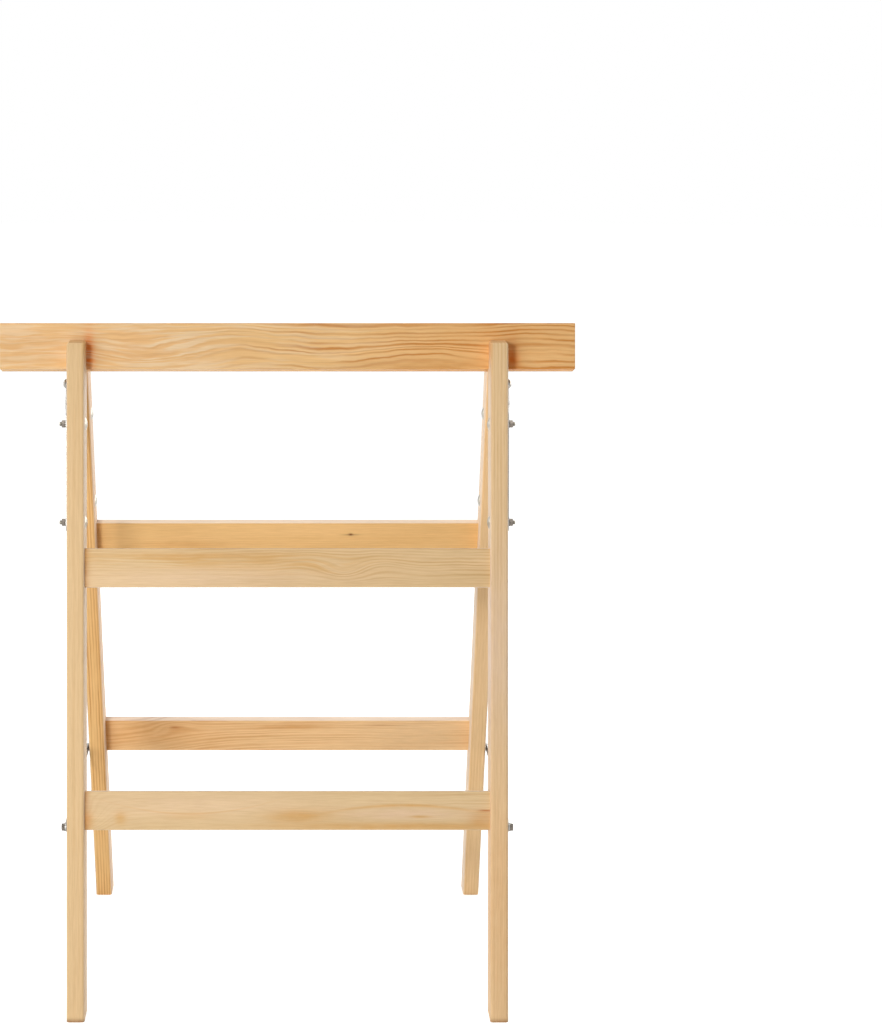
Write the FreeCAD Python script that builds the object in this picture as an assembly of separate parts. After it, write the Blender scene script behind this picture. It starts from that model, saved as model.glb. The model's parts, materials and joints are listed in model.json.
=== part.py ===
"""Folding pine trestle: two ladder frames hinged under a beam, with two folding steel stays.

Millimetres. X runs along the beam, the front frame stands at -Y, Z is up and the floor is Z = 0.
Each frame is drawn upright about the hinge axis, then leaned; the beam leans with the front frame.
Pieces are drawn on the front right and mirrored to the left and to the rear.
"""
import FreeCAD
import Part
import math
import os
from FreeCAD import Vector

# Whole trestle
height = 750.0
lean_deg = 14.5
leg_span = 491.5
frame_gap = 18.2

# Beam, let into the front legs
beam_length = 646.0
beam_height = 51.8
beam_thickness = 22.0
beam_edge_radius = 1.0
beam_housing = 11.0

# Legs
leg_width = 20.0
leg_depth = 36.0
leg_edge_radius = 3.2
leg_top_drop = 18.5
stop_clearance = 0.3

# Rails and their tenons, drops measured along the leg from the hinge axis to the rail's top edge
rail_height = 43.5
rail_thickness = 11.0
rail_edge_radius = 1.5
rail_setback = 5.0
upper_rail_drop = 188.0
lower_rail_drop = 458.5
tenon_length = 12.0
tenon_shoulder = 7.0
joint_clearance = 0.1

# Hinge straps, places measured along the leg from the hinge axis and in from the leg's inner face
pivot_drop = 14.0
strap_width = 14.0
strap_thickness = 1.5
strap_line = 20.0
strap_knee = 40.0
strap_tail = 3.0
joggle_start = 38.0
joggle_length = 8.0
upper_bolt_drop = 48.5
lower_bolt_drop = 158.5
layer_gap = 0.2

# Hinge rivet
rivet_diameter = 6.0
rivet_head_diameter = 12.5
rivet_head_height = 4.5
rivet_tail_diameter = 10.0
rivet_tail_height = 2.0
pivot_clearance = 0.05

# Hinge bolts, nuts and washers
bolt_diameter = 5.0
bolt_head_diameter = 14.5
bolt_head_height = 2.3
bolt_neck_length = 2.5
bolt_tip = 2.6
bolt_tip_chamfer = 0.8
thread_pitch = 0.8
thread_depth = 0.35
nut_flats = 8.0
nut_height = 4.0
nut_chamfer = 0.6
washer_diameter = 9.0
washer_thickness = 1.0
hole_clearance = 0.1

# Folding stays, screws placed up from the lower rail's bottom edge and in from the leg's inner face
stay_rise = 3.0
stay_line = 24.0
stay_width = 10.0
stay_thickness = 1.5
stay_gap = 0.3
stay_washer_diameter = 9.0
stay_washer_thickness = 0.8
stay_side_play = 0.1
stay_screw_diameter = 5.0
stay_screw_bite = 15.0
stay_screw_point = 4.0
stay_head_flats = 8.0
stay_head_height = 3.0
stay_head_chamfer = 0.5
stay_rivet_diameter = 5.0
stay_rivet_head_diameter = 9.0
stay_rivet_head_height = 2.5

# Beam screws
screw_diameter = 4.0
screw_head_diameter = 8.0
screw_bite = 15.0
screw_point = 3.0
screw_sink = 0.3
lower_screw_rise = 9.0
upper_screw_rise = 24.0

# Places worked out from the sizes above
lean = math.radians(lean_deg)
leg_outer_x = leg_span / 2
leg_inner_x = leg_outer_x - leg_width
leg_middle_x = leg_outer_x - leg_width / 2
leg_top = height - leg_top_drop
pivot_to_leg = frame_gap / 2
beam_front_y = -(pivot_to_leg + beam_housing)
beam_back_y = beam_front_y + beam_thickness
beam_corner_y = beam_front_y + beam_edge_radius
beam_corner_z = pivot_drop + beam_height - beam_edge_radius
pivot_z = height - beam_edge_radius - beam_corner_z * math.cos(lean) + beam_corner_y * math.sin(lean)
strap_y = -(pivot_to_leg + strap_line)
stay_y = -(pivot_to_leg + stay_line)
stay_drop = lower_rail_drop + rail_height - stay_rise
rail_back_y = -(pivot_to_leg + leg_depth - rail_setback - rail_thickness)
strap_outer_x = leg_outer_x + strap_thickness
outer_strap_x = strap_outer_x + layer_gap
front_link_x = leg_outer_x + stay_washer_thickness + stay_side_play
rear_link_x = front_link_x + stay_thickness + stay_gap
stay_reach = -(stay_y * math.cos(lean) - stay_drop * math.sin(lean))
stay_z = pivot_z - stay_y * math.sin(lean) - stay_drop * math.cos(lean)
bolt_drops = (upper_bolt_drop, lower_bolt_drop)

origin = Vector(0, 0, 0)
x_axis = Vector(1, 0, 0)
y_axis = Vector(0, 1, 0)


def leaned(shape):
    """Lean an upright piece about the hinge axis, foot forward, and lift it to the hinge."""
    moved = shape.copy()
    moved.rotate(origin, x_axis, -lean_deg)
    moved.translate(Vector(0, 0, pivot_z))
    return moved


def at_corner(shape, side, face):
    """Copy a front right piece to the named side and face."""
    if side == "left":
        shape = shape.mirror(origin, x_axis)
    if face == "rear":
        shape = shape.mirror(origin, y_axis)
    return shape


def block(low, high):
    """Box between two corners."""
    size = high - low
    return Part.makeBox(size.x, size.y, size.z, low)


def rounded(shape, radius, keep=None):
    """Round all edges, or those that run along one axis."""
    edges = shape.Edges
    if keep is not None:
        edges = [edge for edge in edges if abs(edge.tangentAt(edge.FirstParameter).dot(keep)) > 0.99]
    return shape.makeFillet(radius, edges)


def rod(radius, start, length):
    """Cylinder along X."""
    return Part.makeCylinder(radius, length, start, x_axis)


def ring(outer_radius, inner_radius, start, thickness):
    """Flat washer along X."""
    return rod(outer_radius, start, thickness).cut(rod(inner_radius, start, thickness))


def turned(points):
    """Solid turned about X from (x, radius) points, closed along the axis."""
    outline = [Vector(x, radius, 0) for x, radius in points]
    wire = Part.makePolygon(outline + outline[:1])
    return Part.Face(wire).revolve(origin, x_axis, 360)


def dome(radius, rise):
    """Shallow spherical cap standing on X = 0 and pointing along X."""
    sphere_radius = (radius ** 2 + rise ** 2) / (2 * rise)
    centre = Vector(rise - sphere_radius, 0, 0)
    half_angle = math.asin(radius / sphere_radius) / 2
    middle = centre + Vector(math.cos(half_angle), math.sin(half_angle), 0) * sphere_radius
    rim = Vector(0, radius, 0)
    crown = Vector(rise, 0, 0)
    arc = Part.Arc(rim, middle, crown).toShape()
    edges = [Part.makeLine(origin, rim), arc, Part.makeLine(crown, origin)]
    return Part.Face(Part.Wire(edges)).revolve(origin, x_axis, 360)


def hexagon(flats, thickness, chamfer):
    """Hexagonal prism along X with both ends chamfered round."""
    corner_radius = flats / math.sqrt(3)
    corners = []
    for index in range(6):
        angle = math.radians(60 * index)
        corners.append(Vector(0, corner_radius * math.cos(angle), corner_radius * math.sin(angle)))
    prism = Part.Face(Part.makePolygon(corners + corners[:1])).extrude(Vector(thickness, 0, 0))
    end_radius = corner_radius - 2 * chamfer
    turning = turned([
        (0, 0), (0, end_radius), (chamfer, corner_radius),
        (thickness - chamfer, corner_radius), (thickness, end_radius), (thickness, 0),
    ])
    return prism.common(turning)


def shifted(shape, x, y, z):
    """Copy of a shape moved by x, y, z."""
    moved = shape.copy()
    moved.translate(Vector(x, y, z))
    return moved


def bar(width, start, end, x, thickness):
    """Flat bar with round ends between two (y, z) points, standing from x outwards."""
    reach = end - start
    middle_box = Part.makeBox(thickness, width, reach.Length, Vector(0, -width / 2, 0))
    middle_box.rotate(origin, x_axis, -math.degrees(math.atan2(reach.y, reach.z)))
    middle_box.translate(Vector(x, start.y, start.z))
    first_end = rod(width / 2, Vector(x, start.y, start.z), thickness)
    last_end = rod(width / 2, Vector(x, end.y, end.z), thickness)
    return middle_box.fuse([first_end, last_end]).removeSplitter()


# Beam

def make_beam():
    half_length = beam_length / 2
    low = Vector(-half_length, beam_front_y, pivot_drop)
    high = Vector(half_length, beam_back_y, pivot_drop + beam_height)
    beam = rounded(block(low, high), beam_edge_radius)
    return leaned(beam.cut(make_beam_screws(joint_clearance)))


def make_beam_pocket(gap):
    """Room that the beam takes up at a right leg, open at the top, with a gap all round."""
    low = Vector(leg_inner_x - leg_width, beam_front_y - gap, pivot_drop - gap)
    high = Vector(leg_outer_x + leg_width, beam_back_y + gap, height)
    return leaned(block(low, high))


def make_beam_screws(clearance):
    """Four countersunk screws from the beam's back face into the front legs, upright."""
    core = screw_diameter / 2 + clearance
    head = screw_head_diameter / 2 + clearance
    length = beam_thickness + screw_bite - screw_sink
    taper = head - core
    outline = [(0, 0), (0, head), (taper, core), (length - screw_point, core), (length + clearance, 0)]
    if clearance:
        outline = [(-screw_sink, 0), (-screw_sink, head)] + outline[1:]
    screw = turned(outline)
    screw.rotate(origin, Vector(0, 0, 1), -90)
    back = beam_back_y - screw_sink
    screws = []
    for x in (-leg_middle_x, leg_middle_x):
        for rise in (lower_screw_rise, upper_screw_rise):
            screws.append(shifted(screw, x, back, pivot_drop + rise))
    return Part.makeCompound(screws)


# Legs

def leg_face_y(z, depth):
    """Y of a front leg's face at a height, depth measured square in from the inner face."""
    return -((pivot_z - z) * math.tan(lean) + (pivot_to_leg + depth) / math.cos(lean))


def make_leg(face):
    """Right leg drawn at the front; a front leg holds the beam, a rear one's top stops against its back."""
    corners = [
        Vector(leg_inner_x, leg_face_y(0, 0), 0),
        Vector(leg_inner_x, leg_face_y(leg_top, 0), leg_top),
        Vector(leg_inner_x, leg_face_y(leg_top, leg_depth), leg_top),
        Vector(leg_inner_x, leg_face_y(0, leg_depth), 0),
    ]
    leg = Part.Face(Part.makePolygon(corners + corners[:1])).extrude(Vector(leg_width, 0, 0))
    # The foot's edges stay square
    edges_above_foot = [edge for edge in leg.Edges if edge.BoundBox.ZMax > leg_edge_radius]
    leg = leg.makeFillet(leg_edge_radius, edges_above_foot)
    if face == "front":
        leg = leg.cut(make_beam_pocket(0.0))
        leg = leg.cut(leaned(make_beam_screws(joint_clearance)))
    else:
        leg = leg.cut(make_beam_pocket(stop_clearance).mirror(origin, y_axis))
    for drop in (upper_rail_drop, lower_rail_drop):
        leg = leg.cut(leaned(make_tenon(drop, joint_clearance)))
    for drop in bolt_drops:
        leg = leg.cut(leaned(make_bolt(drop, hole_clearance)))
    return leg.cut(leaned(make_stay_screw(face, joint_clearance)))


# Rails

def make_tenon(drop, clearance):
    """Right tenon of a rail, or with a clearance the mortise it fits."""
    low = Vector(
        leg_inner_x - rail_edge_radius,
        rail_back_y - rail_thickness - clearance,
        -drop - rail_height + tenon_shoulder - clearance)
    high = Vector(
        leg_inner_x + tenon_length + clearance,
        rail_back_y + clearance,
        -drop - tenon_shoulder + clearance)
    return block(low, high)


def make_rail(drop):
    low = Vector(-leg_inner_x, rail_back_y - rail_thickness, -drop - rail_height)
    high = Vector(leg_inner_x, rail_back_y, -drop)
    rail = rounded(block(low, high), rail_edge_radius, x_axis)
    tenon = make_tenon(drop, 0.0)
    return leaned(rail.fuse([tenon, tenon.mirror(origin, x_axis)]).removeSplitter())


# Hinge hardware

def make_strap(face):
    """Hinge strap of a right leg; the front one steps out over the rear one at the pivot."""
    pivot = Vector(0, 0, 0)
    knee = Vector(0, strap_y, -strap_knee)
    tail = Vector(0, strap_y, -lower_bolt_drop - strap_tail)
    depth = strap_thickness if face == "rear" else outer_strap_x + strap_thickness - leg_outer_x
    strap = bar(strap_width, pivot, knee, leg_outer_x, depth)
    strap = strap.fuse(bar(strap_width, knee, tail, leg_outer_x, depth)).removeSplitter()
    if face == "front":
        strap = strap.common(make_joggle(knee))
    strap = strap.cut(rod(rivet_diameter / 2 + pivot_clearance, Vector(leg_outer_x, 0, 0), depth))
    for drop in bolt_drops:
        strap = strap.cut(make_bolt(drop, hole_clearance))
    return leaned(strap)


def make_joggle(knee):
    """Stepped slab that a front strap is cut from: outer layer at the pivot, flat on the leg below."""
    along = Vector(knee).normalize()
    across = along.cross(x_axis)
    far = lower_bolt_drop + strap_width
    near = -strap_width
    joggle_end = joggle_start + joggle_length
    profile = [
        (near, outer_strap_x), (joggle_start, outer_strap_x), (joggle_end, leg_outer_x), (far, leg_outer_x),
        (far, strap_outer_x), (joggle_end, strap_outer_x),
        (joggle_start, outer_strap_x + strap_thickness), (near, outer_strap_x + strap_thickness),
    ]
    points = [along * u + x_axis * x - across * far for u, x in profile]
    return Part.Face(Part.makePolygon(points + points[:1])).extrude(across * (2 * far))


def make_rivet():
    """Hinge rivet through both straps, tail inside and domed head outside."""
    head_x = outer_strap_x + strap_thickness + layer_gap
    shank = rod(rivet_diameter / 2, Vector(leg_outer_x, 0, 0), head_x - leg_outer_x)
    tail = rod(rivet_tail_diameter / 2, Vector(leg_outer_x - rivet_tail_height, 0, 0), rivet_tail_height)
    head = shifted(dome(rivet_head_diameter / 2, rivet_head_height), head_x, 0, 0)
    return leaned(shank.fuse([tail, head]).removeSplitter())


def make_bolt(drop, clearance):
    """Carriage bolt of a right leg, upright; with a clearance, the hole for it."""
    radius = bolt_diameter / 2 + clearance
    nut_face = strap_outer_x + washer_thickness + nut_height
    tip_x = nut_face + bolt_tip
    half_neck = bolt_diameter / 2 + clearance
    neck = block(
        Vector(leg_inner_x, -half_neck, -half_neck),
        Vector(leg_inner_x + bolt_neck_length + clearance, half_neck, half_neck))
    shank = turned([
        (leg_inner_x, 0), (leg_inner_x, radius), (tip_x - bolt_tip_chamfer, radius),
        (tip_x, radius - bolt_tip_chamfer), (tip_x, 0),
    ])
    if clearance:
        bolt = neck.fuse(shank)
    else:
        head = dome(bolt_head_diameter / 2, bolt_head_height).mirror(origin, x_axis)
        bolt = neck.fuse([threaded(shank, nut_face), shifted(head, leg_inner_x, 0, 0)])
    return shifted(bolt.removeSplitter(), 0, strap_y, -drop)


def threaded(shank, nut_face):
    """Cut thread grooves into the tip that stands out of the nut."""
    radius = bolt_diameter / 2
    for index in range(int((bolt_tip - bolt_tip_chamfer) / thread_pitch)):
        start = nut_face + index * thread_pitch
        groove = turned([
            (start, radius + thread_depth), (start, radius),
            (start + thread_pitch / 2, radius - thread_depth),
            (start + thread_pitch, radius), (start + thread_pitch, radius + thread_depth),
        ])
        shank = shank.cut(groove)
    return shank


def make_washer(drop):
    start = Vector(strap_outer_x, strap_y, -drop)
    return ring(washer_diameter / 2, bolt_diameter / 2 + hole_clearance, start, washer_thickness)


def make_nut(drop):
    nut = hexagon(nut_flats, nut_height, nut_chamfer)
    nut = nut.cut(rod(bolt_diameter / 2 + joint_clearance, origin, nut_height))
    return shifted(nut, strap_outer_x + washer_thickness, strap_y, -drop)


def pair(make):
    """The upper and lower piece of one leg's hinge hardware."""
    return leaned(Part.makeCompound([make(drop) for drop in bolt_drops]))


# Folding stays

def link_x(face):
    return front_link_x if face == "front" else rear_link_x


def make_stay_link(face):
    """Right stay link, drawn on the front half; the middle pivot lies over the trestle's centre."""
    x = link_x(face)
    screw_end = Vector(0, -stay_reach, stay_z)
    middle_end = Vector(0, 0, stay_z)
    outwards = x_axis * x
    link = bar(stay_width, screw_end, middle_end, x, stay_thickness)
    screw_hole = rod(stay_screw_diameter / 2 + pivot_clearance, screw_end + outwards, stay_thickness)
    rivet_hole = rod(stay_rivet_diameter / 2 + pivot_clearance, middle_end + outwards, stay_thickness)
    return link.cut([screw_hole, rivet_hole])


def make_stay_rivet():
    """Middle rivet, held by the outer link and flush with its inner face."""
    head_x = rear_link_x + stay_thickness
    shank = rod(stay_rivet_diameter / 2, Vector(rear_link_x, 0, stay_z), stay_thickness)
    head = shifted(dome(stay_rivet_head_diameter / 2, stay_rivet_head_height), head_x, 0, stay_z)
    return shank.fuse(head).removeSplitter()


def make_stay_screw(face, clearance):
    """Hexagon headed screw that a stay link turns on, upright; with a clearance, its hole in the leg."""
    radius = stay_screw_diameter / 2 + clearance
    tip_x = leg_outer_x - stay_screw_bite
    head_x = stay_head_x(face)
    screw = turned([
        (tip_x - clearance, 0), (tip_x + stay_screw_point, radius), (head_x, radius), (head_x, 0),
    ])
    if not clearance:
        head = hexagon(stay_head_flats, stay_head_height, stay_head_chamfer)
        screw = screw.fuse(shifted(head, head_x, 0, 0)).removeSplitter()
    return shifted(screw, 0, stay_y, -stay_drop)


def stay_head_x(face):
    return link_x(face) + stay_thickness + stay_side_play + stay_washer_thickness


def make_stay_washers(face):
    """Spacer between leg and link, and washer under the screw's head."""
    outer = stay_washer_diameter / 2
    inner = stay_screw_diameter / 2 + joint_clearance
    spacer_length = link_x(face) - stay_side_play - leg_outer_x
    spacer = ring(outer, inner, Vector(leg_outer_x, stay_y, -stay_drop), spacer_length)
    washer_x = stay_head_x(face) - stay_washer_thickness
    washer = ring(outer, inner, Vector(washer_x, stay_y, -stay_drop), stay_washer_thickness)
    return Part.makeCompound([spacer, washer])


def export(shape, name):
    shape.exportStep("parts/" + name + ".step")


os.makedirs("parts", exist_ok=True)
export(make_beam(), "top_beam")
export(leaned(make_beam_screws(0.0)), "beam_screws")
for face in ("front", "rear"):
    export(at_corner(make_rail(upper_rail_drop), "right", face), face + "_upper_rail")
    export(at_corner(make_rail(lower_rail_drop), "right", face), face + "_lower_rail")
    corner_pieces = {
        "leg": make_leg(face),
        "hinge_strap": make_strap(face),
        "hinge_bolts": pair(lambda drop: make_bolt(drop, 0.0)),
        "hinge_washers": pair(make_washer),
        "hinge_nuts": pair(make_nut),
        "stay_link": make_stay_link(face),
        "stay_screw": leaned(make_stay_screw(face, 0.0)),
        "stay_washers": leaned(make_stay_washers(face)),
    }
    for side in ("left", "right"):
        for piece, shape in corner_pieces.items():
            export(at_corner(shape, side, face), face + "_" + side + "_" + piece)
for side in ("left", "right"):
    export(at_corner(make_rivet(), side, "front"), side + "_hinge_rivet")
    export(at_corner(make_stay_rivet(), side, "front"), side + "_stay_rivet")
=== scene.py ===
import json
import math
from dataclasses import dataclass

import bpy
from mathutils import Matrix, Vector


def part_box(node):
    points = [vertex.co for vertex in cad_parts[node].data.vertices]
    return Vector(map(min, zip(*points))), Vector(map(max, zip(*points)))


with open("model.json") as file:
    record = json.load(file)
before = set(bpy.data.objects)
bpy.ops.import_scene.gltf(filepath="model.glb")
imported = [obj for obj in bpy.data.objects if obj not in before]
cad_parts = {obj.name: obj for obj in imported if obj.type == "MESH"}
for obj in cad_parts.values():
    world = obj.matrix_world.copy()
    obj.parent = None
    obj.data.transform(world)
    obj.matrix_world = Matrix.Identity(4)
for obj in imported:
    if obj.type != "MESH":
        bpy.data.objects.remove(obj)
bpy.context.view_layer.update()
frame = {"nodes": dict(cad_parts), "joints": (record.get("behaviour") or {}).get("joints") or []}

# Folding pine trestle: pine and zinc finishes, a pale floor, soft studio light and the camera.
# Metres, with X along the beam, the front frame at -Y and Z up.
mm = 0.001

# The hinge line that the frame gives, and the lean: folding closes twice the lean
fold = next(joint for joint in frame["joints"] if joint["name"] == "fold")
hinge = Vector(fold["pos_m"])
lean = math.radians(fold["range_deg"][1]) / 2

# Picture and camera
picture_width = 882
picture_height = 1024
focal_pixels = 2280.0
centre_pixel_x = 287.4
centre_pixel_y = 672.0
camera_back = 2.5769
camera_height = 1.0189
camera_pitch = math.radians(14.664)
sensor_size = 36.0

# Light and floor: the floor's own brightness rises from a near to a far radius
ambient_strength = 0.14
key_place = Vector((-0.8, -2.1, 1.22))
key_size = 0.36
key_power = 15.5
soft_place = Vector((-1.25, -2.0, 0.6))
soft_size = 1.4
soft_power = 19.3
left_place = Vector((-1.6, 0.7, 0.95))
left_power = 8.0
right_place = Vector((1.6, 0.7, 0.95))
right_power = 16.0
side_size = 1.2
back_place = Vector((0.9, 2.4, 1.1))
back_size = 1.4
back_power = 14.0
top_place = Vector((0.0, 0.3, 3.0))
top_size = 1.6
top_power = 26.0
floor_sides = 96
floor_radius = 14.0
floor_grey = 0.86
floor_roughness = 0.9
floor_near_radius = 0.5
floor_far_radius = 1.6
floor_near_lift = 0.6
floor_far_lift = 0.95

# Pine: noise scales are per metre along, across and through the board, or per ring
# Ramps are (place, value) stops
long_wave_scale = (9.0, 16.0, 16.0)
short_wave_scale = (36.0, 70.0, 70.0)
fibre_scale = (45.0, 1500.0, 1500.0)
tint_scale = (4.0, 40.0, 40.0)
blotch_scale = (60.0, 160.0, 160.0)
streak_along_scale = 14.0
streak_ring_scale = 1.3
streak_ramp = ((0.42, 0.0), (0.62, 1.0))
ring_noise_scale = 0.45
ring_unevenness = 2.0
ring_ramp = ((0.0, 0.1), (0.3, 0.0), (0.75, 1.0), (0.88, 0.8), (1.0, 0.1))
late_along_scale = 9.0
late_ramp = ((0.3, 0.2), (0.65, 1.0))
tint_ramp = ((0.25, (0.95, 0.94, 0.91, 1.0)), (0.75, (1.04, 1.05, 1.07, 1.0)))
fibre_ramp = ((0.3, (0.94, 0.92, 0.89, 1.0)), (0.7, (1.04, 1.05, 1.06, 1.0)))
# Painted sheen: narrow edges are paled and desaturated to stand in for grazing reflection
sheen_saturation = 0.5
sheen_value = 1.04
sheen_start = 0.5
end_start = 0.55
side_full = 0.95
end_grain_shade = (0.8, 0.7, 0.58, 1.0)
pine_roughness = ((0.2, 0.55), (0.8, 0.7))
pine_specular = 0.35
pine_bump = 0.35
pine_bump_depth = 0.2 * mm
late_bump_share = 0.5

# Zinc
brushed_scale = (40.0, 60.0, 2500.0)
plain_scale = (700.0, 700.0, 700.0)
mottle_scale = (160.0, 160.0, 160.0)
mottle_shade = 0.84
mottle_low = 0.3
mottle_high = 0.7
zinc_fine_low = 0.25
zinc_fine_high = 0.75
zinc_smoother = 0.06
zinc_rougher = 0.08
zinc_bump = 0.2
zinc_bump_depth = 0.05 * mm

# Sockets of a colour Mix node
mix_first = 6
mix_second = 7
mix_result = 2


def srgb(red, green, blue):
    """Linear colour of an 8-bit display colour."""
    return tuple(channel_to_linear(channel / 255) for channel in (red, green, blue)) + (1.0,)


def channel_to_linear(value):
    if value <= 0.04045:
        return value / 12.92
    return ((value + 0.055) / 1.055) ** 2.4


class Graph:
    """Short calls that add nodes to one material."""

    def __init__(self, name):
        self.material = bpy.data.materials.new(name)
        self.material.use_nodes = True
        self.tree = self.material.node_tree
        self.shader = self.tree.nodes["Principled BSDF"]

    def node(self, kind, **settings):
        made = self.tree.nodes.new("ShaderNode" + kind)
        for name, value in settings.items():
            setattr(made, name, value)
        return made

    def put(self, socket, value):
        """Link a socket, or set it to a constant."""
        if isinstance(value, bpy.types.NodeSocket):
            self.tree.links.new(value, socket)
        else:
            socket.default_value = value

    def math(self, operation, *values):
        made = self.node("Math", operation=operation)
        for socket, value in zip(made.inputs, values):
            self.put(socket, value)
        return made.outputs[0]

    def add(self, *values):
        total = values[0]
        for value in values[1:]:
            total = self.math("ADD", total, value)
        return total

    def times(self, *values):
        product = values[0]
        for value in values[1:]:
            product = self.math("MULTIPLY", product, value)
        return product

    def less(self, first, second):
        return self.math("SUBTRACT", first, second)

    def vector_math(self, operation, *values):
        made = self.node("VectorMath", operation=operation)
        for socket, value in zip(made.inputs, values):
            self.put(socket, value)
        return made.outputs["Value"] if operation in ("DOT_PRODUCT", "LENGTH") else made.outputs["Vector"]

    def scaled(self, vector, scale):
        return self.vector_math("MULTIPLY", vector, scale)

    def combine(self, x, y, z):
        made = self.node("CombineXYZ")
        for socket, value in zip(made.inputs, (x, y, z)):
            self.put(socket, value)
        return made.outputs[0]

    def separate(self, vector):
        made = self.node("SeparateXYZ")
        self.put(made.inputs[0], vector)
        return made.outputs

    def noise(self, vector, detail=2.0, roughness=0.5):
        made = self.node("TexNoise")
        self.put(made.inputs["Vector"], vector)
        made.inputs["Scale"].default_value = 1.0
        made.inputs["Detail"].default_value = detail
        made.inputs["Roughness"].default_value = roughness
        return made.outputs[0]

    def swing(self, vector, detail=2.0):
        """Noise that swings about zero."""
        return self.less(self.noise(vector, detail), 0.5)

    def ramp(self, value, *stops):
        """Smooth colour ramp through (place, colour) stops."""
        made = self.node("ValToRGB")
        made.color_ramp.interpolation = "EASE"
        elements = made.color_ramp.elements
        while len(elements) < len(stops):
            elements.new(1.0)
        for element, (place, colour) in zip(elements, stops):
            element.position = place
            element.color = colour if hasattr(colour, "__len__") else (colour, colour, colour, 1.0)
        self.put(made.inputs[0], value)
        return made.outputs[0]

    def mix(self, factor, first, second, blend="MIX"):
        made = self.node("Mix", data_type="RGBA", blend_type=blend)
        self.put(made.inputs["Factor"], factor)
        self.put(made.inputs[mix_first], first)
        self.put(made.inputs[mix_second], second)
        return made.outputs[mix_result]

    def bump(self, height, strength, distance):
        made = self.node("Bump")
        made.inputs["Strength"].default_value = strength
        made.inputs["Distance"].default_value = distance
        self.put(made.inputs["Height"], height)
        self.put(self.shader.inputs["Normal"], made.outputs[0])


# Pine

@dataclass
class Board:
    """One board: its node, how far it leans, and whether it runs along X or up the lean."""
    node: str
    tilt: float
    upright: bool = False

    def axes(self):
        """Directions along the grain and across the face."""
        level = Vector((1.0, 0.0, 0.0))
        rising = Vector((0.0, -math.sin(self.tilt), math.cos(self.tilt)))
        return (rising, level) if self.upright else (level, rising)


@dataclass
class Spot:
    """Soft oval on a board's face, placed and sized along and across the grain from the board's middle.

    A bend curves the oval: it is the rise across the grain at one length from the oval's middle.
    A spot runs through the board, or with a depth it fades from a place through the board.
    """
    along: float
    across: float
    length: float
    width: float
    amount: float
    shade: tuple = ()
    bend: float = 0.0
    through: float = 0.0
    depth: float = 0.0


@dataclass
class Grain:
    """Look of one board. Rings lie about a pith line, given across and through the board.

    Sway and ripple bend the rings, and swells push them by whole rings. Stains colour the board, and
    some of them are painted shadow; flames are streaks that follow the rings, and calm spots weaken the
    rings. Narrow edges get a painted sheen, paler and less saturated than the face, that stands in for
    grazing reflection of the white surroundings, but not at the no-sheen spots.
    """
    early: tuple
    late: tuple
    ring_spacing: float
    pith: tuple
    sway: float = 2.0 * mm
    ripple: float = 0.5 * mm
    contrast: float = 0.6
    swells: tuple = ()
    stains_and_shade: tuple = ()
    flames: tuple = ()
    calm: tuple = ()
    painted_edge_sheen: float = 0.75
    no_sheen_spots: tuple = ()
    seed: float = 0.0


def board_point(graph, board):
    """Place on a board: u along its grain, v across its face and w through it."""
    place = graph.node("Mapping", vector_type="TEXTURE")
    graph.put(place.inputs["Vector"], graph.node("TexCoord").outputs["Object"])
    place.inputs["Location"].default_value = node_centre(board.node)
    place.inputs["Rotation"].default_value = (board.tilt, 0.0, 0.0)
    x, y, z = graph.separate(place.outputs[0])
    return graph.combine(z, x, y) if board.upright else graph.combine(x, z, y)


def cover(graph, point, spot):
    """Cover of a spot: its amount at the middle, falling off over its length and width."""
    u, v, w = graph.separate(point)
    along = graph.times(graph.less(u, spot.along), 1.0 / spot.length)
    along_square = graph.times(along, along)
    middle = graph.add(graph.times(along_square, spot.bend), spot.across)
    across = graph.times(graph.less(v, middle), 1.0 / spot.width)
    square = graph.add(along_square, graph.times(across, across))
    if spot.depth:
        deep = graph.times(graph.less(w, spot.through), 1.0 / spot.depth)
        square = graph.add(square, graph.times(deep, deep))
    return graph.times(graph.math("EXPONENT", graph.times(square, -1.0)), spot.amount)


def ring_count(graph, point, shifted, grain):
    """Count of growth rings from the pith to a place on the board."""
    v, w = graph.separate(point)[1:]
    long_wave = graph.swing(graph.scaled(shifted, long_wave_scale), detail=1.0)
    short_wave = graph.swing(graph.scaled(shifted, short_wave_scale))
    wave = graph.add(graph.times(long_wave, 2 * grain.sway), graph.times(short_wave, 2 * grain.ripple))
    across = graph.add(graph.less(v, grain.pith[0]), wave)
    deep = graph.less(w, grain.pith[1])
    radius = graph.math("SQRT", graph.add(graph.times(across, across), graph.times(deep, deep)))
    rings = graph.math("DIVIDE", radius, grain.ring_spacing)
    for swell in grain.swells:
        rings = graph.add(rings, cover(graph, point, swell))
    uneven_place = graph.combine(graph.times(rings, ring_noise_scale), grain.seed, 0.0)
    uneven = graph.noise(uneven_place, detail=1.0)
    return graph.add(rings, graph.times(uneven, ring_unevenness))


def late_share(graph, point, rings, grain):
    """Share of dark late wood, from 0 in the early wood to the grain's contrast."""
    u = graph.separate(point)[0]
    lateness = graph.ramp(graph.math("FRACT", rings), *ring_ramp)
    strength_place = graph.combine(
        graph.times(rings, ring_noise_scale), graph.times(u, late_along_scale), grain.seed)
    strength = graph.noise(strength_place, detail=1.0)
    share = graph.times(lateness, graph.ramp(strength, *late_ramp), grain.contrast)
    for spot in grain.calm:
        share = graph.times(share, graph.less(1.0, cover(graph, point, spot)))
    return share


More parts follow.
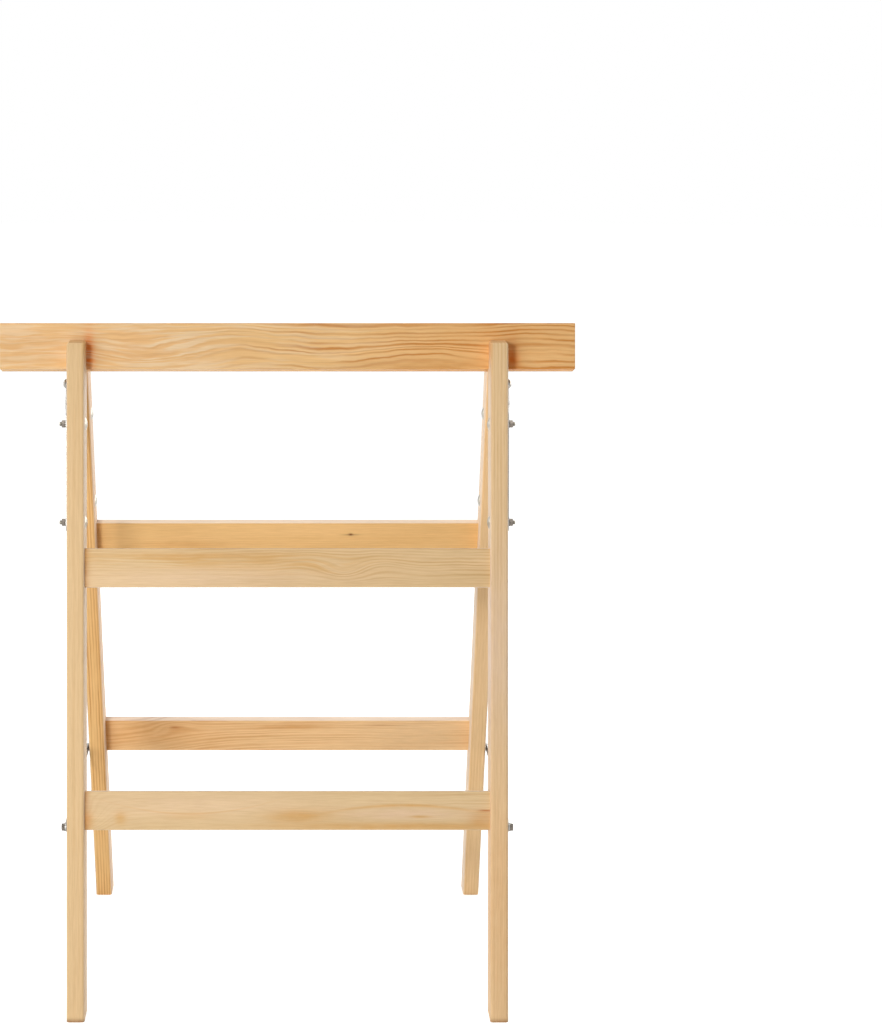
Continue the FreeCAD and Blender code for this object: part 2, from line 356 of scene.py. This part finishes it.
def pine(board, grain):
    """Planed pine, unvarnished."""
    graph = Graph(board.node + "_pine")
    point = board_point(graph, board)
    shifted = graph.vector_math("ADD", point, (grain.seed, grain.seed, grain.seed))
    rings = ring_count(graph, point, shifted, grain)
    share = late_share(graph, point, rings, grain)
    fibres = graph.noise(graph.scaled(shifted, fibre_scale), detail=3.0, roughness=0.6)
    tint = graph.noise(graph.scaled(shifted, tint_scale))
    blotches = graph.noise(graph.scaled(shifted, blotch_scale))

    # Rings, stains and painted shade, flames, broad tints and fibres
    colour = graph.mix(share, grain.early, grain.late)
    for stain_or_shade in grain.stains_and_shade:
        blotchy = graph.times(cover(graph, point, stain_or_shade), graph.add(blotches, 0.5))
        colour = graph.mix(blotchy, colour, stain_or_shade.shade)
    along = graph.separate(point)[0]
    streak_place = graph.combine(
        graph.times(along, streak_along_scale), graph.times(rings, streak_ring_scale), grain.seed)
    streaky = graph.ramp(graph.noise(streak_place), *streak_ramp)
    for flame in grain.flames:
        colour = graph.mix(graph.times(cover(graph, point, flame), streaky), colour, flame.shade)
    colour = graph.mix(1.0, colour, graph.ramp(tint, *tint_ramp), "MULTIPLY")
    colour = graph.mix(1.0, colour, graph.ramp(fibres, *fibre_ramp), "MULTIPLY")

    # Narrow edges get a painted sheen, paler and less saturated, standing in for grazing reflection of the
    # white surroundings; end grain is darker
    grain_axis, edge_axis = board.axes()
    normal = graph.node("TexCoord").outputs["Normal"]
    on_edge = graph.math("ABSOLUTE", graph.vector_math("DOT_PRODUCT", normal, edge_axis))
    pale = graph.node("HueSaturation")
    pale.inputs["Saturation"].default_value = sheen_saturation
    pale.inputs["Value"].default_value = sheen_value
    graph.put(pale.inputs["Color"], colour)
    sheen_share = graph.ramp(on_edge, (sheen_start, 0.0), (side_full, grain.painted_edge_sheen))
    for spot in grain.no_sheen_spots:
        sheen_share = graph.times(sheen_share, graph.less(1.0, cover(graph, point, spot)))
    colour = graph.mix(sheen_share, colour, pale.outputs["Color"])
    on_end = graph.math("ABSOLUTE", graph.vector_math("DOT_PRODUCT", normal, grain_axis))
    end_colour = graph.mix(1.0, colour, end_grain_shade, "MULTIPLY")
    colour = graph.mix(graph.ramp(on_end, (end_start, 0.0), (side_full, 1.0)), colour, end_colour)
    graph.put(graph.shader.inputs["Base Color"], colour)

    # Surface
    graph.put(graph.shader.inputs["Roughness"], graph.ramp(fibres, *pine_roughness))
    graph.shader.inputs["Specular IOR Level"].default_value = pine_specular
    graph.bump(graph.add(fibres, graph.times(share, late_bump_share)), pine_bump, pine_bump_depth)
    return graph.material


def node_centre(node):
    low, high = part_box(node)
    return (low + high) / 2


def finish_node(node, material):
    target = frame["nodes"][node].data.materials
    target.clear()
    target.append(material)


gold = srgb(222, 170, 100)
orange = srgb(216, 152, 80)
amber = srgb(242, 168, 88)
rust = srgb(190, 112, 48)
painted_shadow_orange = srgb(232, 122, 28)
cream = srgb(243, 214, 174)
tan = srgb(226, 172, 116)
rose = srgb(238, 207, 178)
pink = srgb(238, 204, 168)
fawn = srgb(220, 186, 142)
brown = srgb(120, 70, 28)
# Painted shade colour
painted_shade_brown = srgb(192, 134, 70)
foot_brown = srgb(150, 104, 64)

# Painted shadow: orange-brown stains right of each front leg stand in for the legs' cast shadow; they lie on
# the beam's front face only
beam_front = -11 * mm
face_depth = 8 * mm
beam = Grain(
    early=srgb(246, 203, 141), late=srgb(194, 120, 44), painted_edge_sheen=0.0,
    ring_spacing=5.0 * mm, pith=(-90 * mm, -40 * mm), sway=6.0 * mm, ripple=2.0 * mm, contrast=1.1, seed=1.0,
    swells=(
        Spot(-150 * mm, -12 * mm, 60 * mm, 17 * mm, 1.4),
        Spot(-60 * mm, 6 * mm, 60 * mm, 18 * mm, -1.2),
        Spot(160 * mm, -10 * mm, 55 * mm, 16 * mm, -1.6),
        Spot(262 * mm, 8 * mm, 45 * mm, 18 * mm, -0.8),
    ),
    stains_and_shade=(
        Spot(250 * mm, 0.0, 190 * mm, 90 * mm, 0.35, amber),
        Spot(170 * mm, -22 * mm, 75 * mm, 7 * mm, 0.6, orange),
        Spot(-150 * mm, -8 * mm, 110 * mm, 40 * mm, 0.5, tan),
        Spot(-290 * mm, -12 * mm, 40 * mm, 10 * mm, 0.5, gold),
        Spot(-310 * mm, 4 * mm, 90 * mm, 40 * mm, 0.6, tan),
        # Painted shadow of the front legs on the beam
        Spot(-223 * mm, -8 * mm, 6 * mm, 24 * mm, 1.0, painted_shadow_orange, through=beam_front, depth=face_depth),
        Spot(252 * mm, -14 * mm, 7 * mm, 17 * mm, 0.85, painted_shadow_orange, through=beam_front, depth=face_depth),
    ),
    flames=(
        Spot(-140 * mm, 0.0, 120 * mm, 60 * mm, 0.75, cream),
        Spot(-310 * mm, 0.0, 70 * mm, 60 * mm, 0.5, cream),
        Spot(30 * mm, 8 * mm, 90 * mm, 30 * mm, 0.4, cream),
    ),
    calm=(
        Spot(-330 * mm, 0.0, 130 * mm, 200 * mm, 0.8),
        Spot(-130 * mm, 0.0, 150 * mm, 200 * mm, 0.7),
        Spot(170 * mm, -22 * mm, 75 * mm, 7 * mm, 0.7),
    ),
)
# Painted shadow: a brown band at each rail's left end stands in for the left leg's shadow on it
left_end_shadow = Spot(-226 * mm, 0.0, 5 * mm, 90 * mm, 0.8, painted_shade_brown)
front_upper = Grain(
    early=srgb(232, 198, 149), late=srgb(202, 152, 90),
    ring_spacing=3.4 * mm, pith=(-70 * mm, -30 * mm), sway=3.0 * mm, ripple=1.0 * mm, contrast=0.62, seed=3.0,
    swells=(
        Spot(62 * mm, -4 * mm, 26 * mm, 14 * mm, 2.4),
        Spot(105 * mm, 2 * mm, 26 * mm, 14 * mm, -1.2),
        Spot(20 * mm, 8 * mm, 45 * mm, 12 * mm, -1.0),
    ),
    stains_and_shade=(
        left_end_shadow,
        Spot(-112 * mm, 13.5 * mm, 115 * mm, 2.6 * mm, 0.7, gold),
        Spot(-38 * mm, 1 * mm, 45 * mm, 5 * mm, 0.35, gold),
        Spot(-90 * mm, -12 * mm, 140 * mm, 12 * mm, 0.5, pink),
    ),
    flames=(
        Spot(-100 * mm, 9 * mm, 120 * mm, 8 * mm, 0.7, gold),
        Spot(30 * mm, 4 * mm, 60 * mm, 12 * mm, 0.5, gold),
    ),
    calm=(
        Spot(-140 * mm, -4 * mm, 120 * mm, 26 * mm, 0.75),
        Spot(0.0, -20 * mm, 320 * mm, 8 * mm, 0.9),
    ),
)
front_lower = Grain(
    early=srgb(231, 199, 151), late=srgb(206, 158, 98),
    ring_spacing=4.4 * mm, pith=(-80 * mm, -30 * mm), sway=3.0 * mm, ripple=0.8 * mm, contrast=0.5, seed=4.0,
    swells=(
        Spot(-228 * mm, -8 * mm, 26 * mm, 24 * mm, 6.0),
        Spot(-109 * mm, 6 * mm, 60 * mm, 15 * mm, -1.2),
    ),
    stains_and_shade=(
        left_end_shadow,
        Spot(131 * mm, -3.4 * mm, 72 * mm, 7 * mm, 0.8, pink),
        Spot(131 * mm, 6.0 * mm, 80 * mm, 1.6 * mm, 0.8, gold, bend=-7 * mm),
        Spot(130 * mm, -17.5 * mm, 150 * mm, 4 * mm, 0.8, gold),
        Spot(148 * mm, -6.7 * mm, 11 * mm, 1.4 * mm, 0.8, gold),
        Spot(12 * mm, -6 * mm, 34 * mm, 7 * mm, 0.9, gold),
        Spot(-222 * mm, -10 * mm, 6 * mm, 9 * mm, 0.6, orange),
        Spot(-186 * mm, -8 * mm, 6 * mm, 7 * mm, 0.8, gold),
        Spot(-109 * mm, -6 * mm, 30 * mm, 4 * mm, 0.4, gold),
        Spot(-109 * mm, -3.4 * mm, 75 * mm, 0.9 * mm, 0.6, gold, bend=9 * mm),
        Spot(-110 * mm, 8 * mm, 130 * mm, 16 * mm, 0.45, pink),
        Spot(216 * mm, -10 * mm, 14 * mm, 9 * mm, 0.5, orange),
        Spot(221 * mm, 0.0, 9 * mm, 1.1 * mm, 0.9, rust),
    ),
    calm=(
        Spot(-50 * mm, -2 * mm, 190 * mm, 60 * mm, 0.85),
        Spot(140 * mm, -12 * mm, 120 * mm, 13 * mm, 0.9),
    ),
)
rear_upper = Grain(
    early=srgb(245, 200, 135), late=srgb(224, 168, 96), painted_edge_sheen=1.0,
    ring_spacing=3.2 * mm, pith=(-80 * mm, -30 * mm), sway=2.0 * mm, ripple=0.4 * mm, contrast=0.5, seed=5.0,
    stains_and_shade=(
        left_end_shadow,
        Spot(-120 * mm, -6 * mm, 60 * mm, 4 * mm, 0.35, orange),
        Spot(75 * mm, 6.9 * mm, 2.4 * mm, 1.5 * mm, 1.0, brown),
        Spot(75 * mm, 6.6 * mm, 9 * mm, 0.9 * mm, 0.6, brown),
    ),
    calm=(Spot(0.0, 12 * mm, 400 * mm, 16 * mm, 0.85),),
)
rear_lower = Grain(
    early=srgb(252, 210, 155), late=srgb(214, 148, 84), painted_edge_sheen=1.0,
    ring_spacing=3.6 * mm, pith=(-70 * mm, -30 * mm), sway=2.0 * mm, ripple=0.8 * mm, contrast=0.7, seed=6.0,
    swells=(
        Spot(-225 * mm, -20 * mm, 110 * mm, 45 * mm, 6.0),
        Spot(-140 * mm, 14 * mm, 26 * mm, 9 * mm, -2.0),
    ),
    stains_and_shade=(
        left_end_shadow,
        Spot(-170 * mm, 4 * mm, 90 * mm, 30 * mm, 0.45, orange),
        Spot(-140 * mm, 12 * mm, 7 * mm, 1.8 * mm, 0.7, rust),
        Spot(6 * mm, 13 * mm, 52 * mm, 4 * mm, 0.55, orange),
        Spot(118 * mm, 15 * mm, 22 * mm, 1.0 * mm, 0.7, rust),
        Spot(170 * mm, -4 * mm, 90 * mm, 40 * mm, 0.45, fawn),
    ),
    calm=(Spot(150 * mm, 0.0, 150 * mm, 50 * mm, 0.5),),
)


def along_leg(place):
    """Place along a front leg's grain, from the leg's middle."""
    grain_axis = Board("front_left_leg", -lean, upright=True).axes()[0]
    return (place - node_centre("front_left_leg")).dot(grain_axis)


leg_low, leg_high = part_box("front_left_leg")
leg_half_width = (leg_high.x - leg_low.x) / 2
beam_along = along_leg(node_centre("top_beam"))
whole_leg = 60 * mm
# Beside the beam the narrow edges get no painted sheen, and the strips there carry painted shade
beside_beam = Spot(beam_along, 0.0, 27 * mm, whole_leg, 1.0)
# Darker band at the foot of each front leg
dark_foot_band = Spot(along_leg(leg_low), 0.0, 3.5 * mm, whole_leg, 0.8, foot_brown)


def lower_edges(amount):
    """Lower half of a front leg's edges, where the painted sheen is weaker."""
    return Spot(-300 * mm, 0.0, 300 * mm, whole_leg, amount)


front_left = Grain(
    early=srgb(230, 195, 146), late=srgb(217, 174, 118),
    ring_spacing=4.6 * mm, pith=(-60 * mm, -40 * mm), contrast=0.35, seed=11.0,
    stains_and_shade=(
        dark_foot_band,
        # Painted shade and reflected orange light from the beam, on the inner side beside it
        Spot(beam_along, leg_half_width, 26 * mm, 2.5 * mm, 0.6, gold),
    ),
    no_sheen_spots=(beside_beam, lower_edges(0.5)))
front_right = Grain(
    early=srgb(240, 205, 156), late=srgb(212, 163, 102),
    ring_spacing=3.6 * mm, pith=(-60 * mm, -40 * mm), sway=1.0 * mm, contrast=0.5, seed=12.0,
    stains_and_shade=(
        dark_foot_band,
        # Painted shade and reflected orange light from the beam, on the inner side beside it
        Spot(beam_along, -leg_half_width, 26 * mm, 2.5 * mm, 0.8, tan),
        # Painted shade: a darker strip along the inner edge of the leg's middle
        Spot(20 * mm, -leg_half_width, 110 * mm, 2 * mm, 0.5, painted_shade_brown),
        Spot(35 * mm, 0.0, 110 * mm, whole_leg, 0.6, rose),
        Spot(-250 * mm, 0.0, 150 * mm, whole_leg, 0.4, tan),
    ),
    calm=(Spot(-200 * mm, 0.0, 260 * mm, whole_leg, 0.6),),
    no_sheen_spots=(beside_beam, lower_edges(0.8)))
rear_left = Grain(
    early=srgb(237, 191, 126), late=srgb(193, 131, 66),
    ring_spacing=3.4 * mm, pith=(-60 * mm, -40 * mm), sway=0.8 * mm, contrast=0.8, seed=13.0)
rear_right = Grain(
    early=srgb(246, 208, 156), late=srgb(224, 178, 124),
    ring_spacing=4.0 * mm, pith=(-60 * mm, -40 * mm), contrast=0.4, seed=14.0,
    stains_and_shade=(Spot(0.0, 0.0, 120 * mm, whole_leg, 0.5, fawn),))

boards = (
    (Board("top_beam", -lean), beam),
    (Board("front_upper_rail", -lean), front_upper),
    (Board("front_lower_rail", -lean), front_lower),
    (Board("rear_upper_rail", lean), rear_upper),
    (Board("rear_lower_rail", lean), rear_lower),
    (Board("front_left_leg", -lean, upright=True), front_left),
    (Board("front_right_leg", -lean, upright=True), front_right),
    (Board("rear_left_leg", lean, upright=True), rear_left),
    (Board("rear_right_leg", lean, upright=True), rear_right),
)
for board, grain in boards:
    finish_node(board.node, pine(board, grain))


# Zinc

def zinc(name, colour, roughness, brushed):
    """Zinc-plated steel with a faint mottle; brushed strip steel has fine level lines."""
    graph = Graph(name)
    place = graph.node("TexCoord").outputs["Object"]
    fine_place = graph.scaled(place, brushed_scale if brushed else plain_scale)
    fine = graph.noise(fine_place, detail=2.0, roughness=0.6)
    mottle = graph.noise(graph.scaled(place, mottle_scale), detail=3.0)
    low = tuple(mottle_shade * channel for channel in colour[:3]) + (1.0,)
    mottled = graph.ramp(mottle, (mottle_low, low), (mottle_high, colour))
    graph.put(graph.shader.inputs["Base Color"], mottled)
    uneven = graph.ramp(
        fine, (zinc_fine_low, roughness - zinc_smoother), (zinc_fine_high, roughness + zinc_rougher))
    graph.put(graph.shader.inputs["Roughness"], uneven)
    graph.shader.inputs["Metallic"].default_value = 1.0
    graph.bump(fine, zinc_bump, zinc_bump_depth)
    return graph.material


strap_zinc = zinc("strap_zinc", (0.38, 0.375, 0.36, 1.0), 0.38, True)
bolt_zinc = zinc("bolt_zinc", (0.42, 0.395, 0.34, 1.0), 0.34, False)
nut_zinc = zinc("nut_zinc", (0.2, 0.175, 0.15, 1.0), 0.26, False)
rivet_zinc = zinc("rivet_zinc", (0.32, 0.3, 0.27, 1.0), 0.22, False)
wooden = [board.node for board, grain in boards]
for node in frame["nodes"]:
    if "rivet" in node:
        finish_node(node, rivet_zinc)
    elif node.endswith("_strap") or node.endswith("_link"):
        finish_node(node, strap_zinc)
    elif node.endswith("_bolts"):
        finish_node(node, bolt_zinc)
    elif node not in wooden:
        finish_node(node, nut_zinc)


# Stage

def make_floor():
    """Pale floor that shows as white to the camera and keeps the trestle's shadow."""
    bpy.ops.mesh.primitive_circle_add(vertices=floor_sides, radius=floor_radius, fill_type="NGON")
    floor = bpy.context.object
    floor.name = "floor"
    graph = Graph("floor_white")
    graph.shader.inputs["Base Color"].default_value = (floor_grey, floor_grey, floor_grey, 1.0)
    graph.shader.inputs["Roughness"].default_value = floor_roughness
    graph.shader.inputs["Specular IOR Level"].default_value = 0.0
    graph.shader.inputs["Emission Color"].default_value = (1.0, 1.0, 1.0, 1.0)
    seen = graph.node("LightPath")
    direct = graph.math("MAXIMUM", seen.outputs["Is Camera Ray"], seen.outputs["Is Glossy Ray"])
    direct = graph.math("MAXIMUM", direct, seen.outputs["Is Transmission Ray"])
    distance = graph.vector_math("LENGTH", graph.node("TexCoord").outputs["Object"])
    near_share = floor_near_radius / floor_far_radius
    lift = graph.ramp(
        graph.times(distance, 1.0 / floor_far_radius), (near_share, floor_near_lift), (1.0, floor_far_lift))
    graph.put(graph.shader.inputs["Emission Strength"], graph.times(direct, lift))
    floor.data.materials.append(graph.material)


def make_world():
    """White surroundings: seen as white, and a plain soft light on the trestle."""
    world = bpy.data.worlds.new("studio")
    bpy.context.scene.world = world
    world.use_nodes = True
    nodes = world.node_tree.nodes
    links = world.node_tree.links
    background = nodes["Background"]
    background.inputs["Color"].default_value = (1.0, 1.0, 1.0, 1.0)
    path = nodes.new("ShaderNodeLightPath")
    camera_or_gloss = nodes.new("ShaderNodeMath")
    camera_or_gloss.operation = "MAXIMUM"
    links.new(path.outputs["Is Camera Ray"], camera_or_gloss.inputs[0])
    links.new(path.outputs["Is Glossy Ray"], camera_or_gloss.inputs[1])
    seen = nodes.new("ShaderNodeMath")
    seen.operation = "MAXIMUM"
    links.new(camera_or_gloss.outputs[0], seen.inputs[0])
    links.new(path.outputs["Is Transmission Ray"], seen.inputs[1])
    strength = nodes.new("ShaderNodeMapRange")
    strength.inputs["To Min"].default_value = ambient_strength
    strength.inputs["To Max"].default_value = 1.0
    links.new(seen.outputs[0], strength.inputs["Value"])
    links.new(strength.outputs[0], background.inputs["Strength"])


def make_lamp(name, place, size, power):
    """Square soft box that faces the hinge under the beam."""
    data = bpy.data.lights.new(name, "AREA")
    data.shape = "SQUARE"
    data.size = size
    data.energy = power
    lamp = bpy.data.objects.new(name, data)
    bpy.context.scene.collection.objects.link(lamp)
    lamp.location = place
    aim = hinge - place
    lamp.rotation_euler = aim.to_track_quat("-Z", "Y").to_euler()


def make_camera():
    """Camera before the front frame, with its centre line off the picture's middle."""
    data = bpy.data.cameras.new("camera")
    data.sensor_width = sensor_size
    data.lens = focal_pixels * sensor_size / picture_height
    data.shift_x = (picture_width / 2 - centre_pixel_x) / picture_height
    data.shift_y = (centre_pixel_y - picture_height / 2) / picture_height
    camera = bpy.data.objects.new("camera", data)
    bpy.context.scene.collection.objects.link(camera)
    camera.location = (0.0, -camera_back, camera_height)
    camera.rotation_euler = (math.pi / 2 - camera_pitch, 0.0, 0.0)
    bpy.context.scene.camera = camera


make_floor()
make_world()
make_lamp("key", key_place, key_size, key_power)
make_lamp("front_soft", soft_place, soft_size, soft_power)
make_lamp("left_side", left_place, side_size, left_power)
make_lamp("right_side", right_place, side_size, right_power)
make_lamp("back_soft", back_place, back_size, back_power)
make_lamp("top", top_place, top_size, top_power)
make_camera()
bpy.context.scene.view_settings.view_transform = "Standard"
